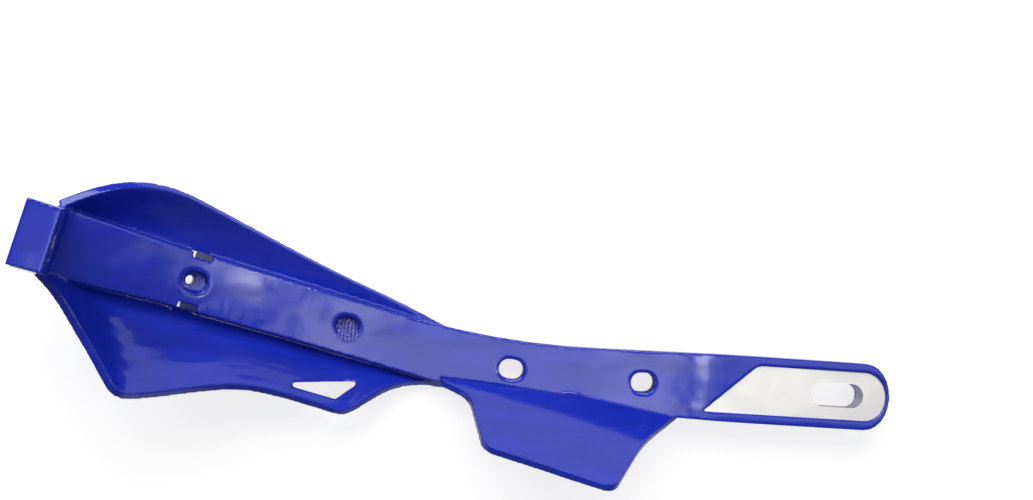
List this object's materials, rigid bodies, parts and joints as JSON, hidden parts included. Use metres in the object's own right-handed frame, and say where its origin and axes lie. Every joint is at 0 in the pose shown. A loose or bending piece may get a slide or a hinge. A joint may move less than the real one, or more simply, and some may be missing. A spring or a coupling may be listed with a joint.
{
  "type": "motorcycle hand guard",
  "caption": "Flat alloy bar bent into an open hook, overmoulded with a glossy plastic sleeve whose deflector wings spread above and below it.",
  "frame": {"origin": "centre of the mounting slot, halfway through the alloy bar's thickness", "axes": "+X runs along the straight mounting end towards its rounded tip, +Y towards the upper wing, +Z out of the face that the rider sees"},
  "size_m": [0.3379, 0.1003, 0.1103],
  "materials": {
    "bare_alloy": "satin, lightly brushed",
    "blue_plastic": "glossy injection moulded, with faint flow marks"
  },
  "bodies": {
    "root": {"alloy_bar": "bare_alloy", "guard_shell": "blue_plastic"}
  },
  "joints": []
}
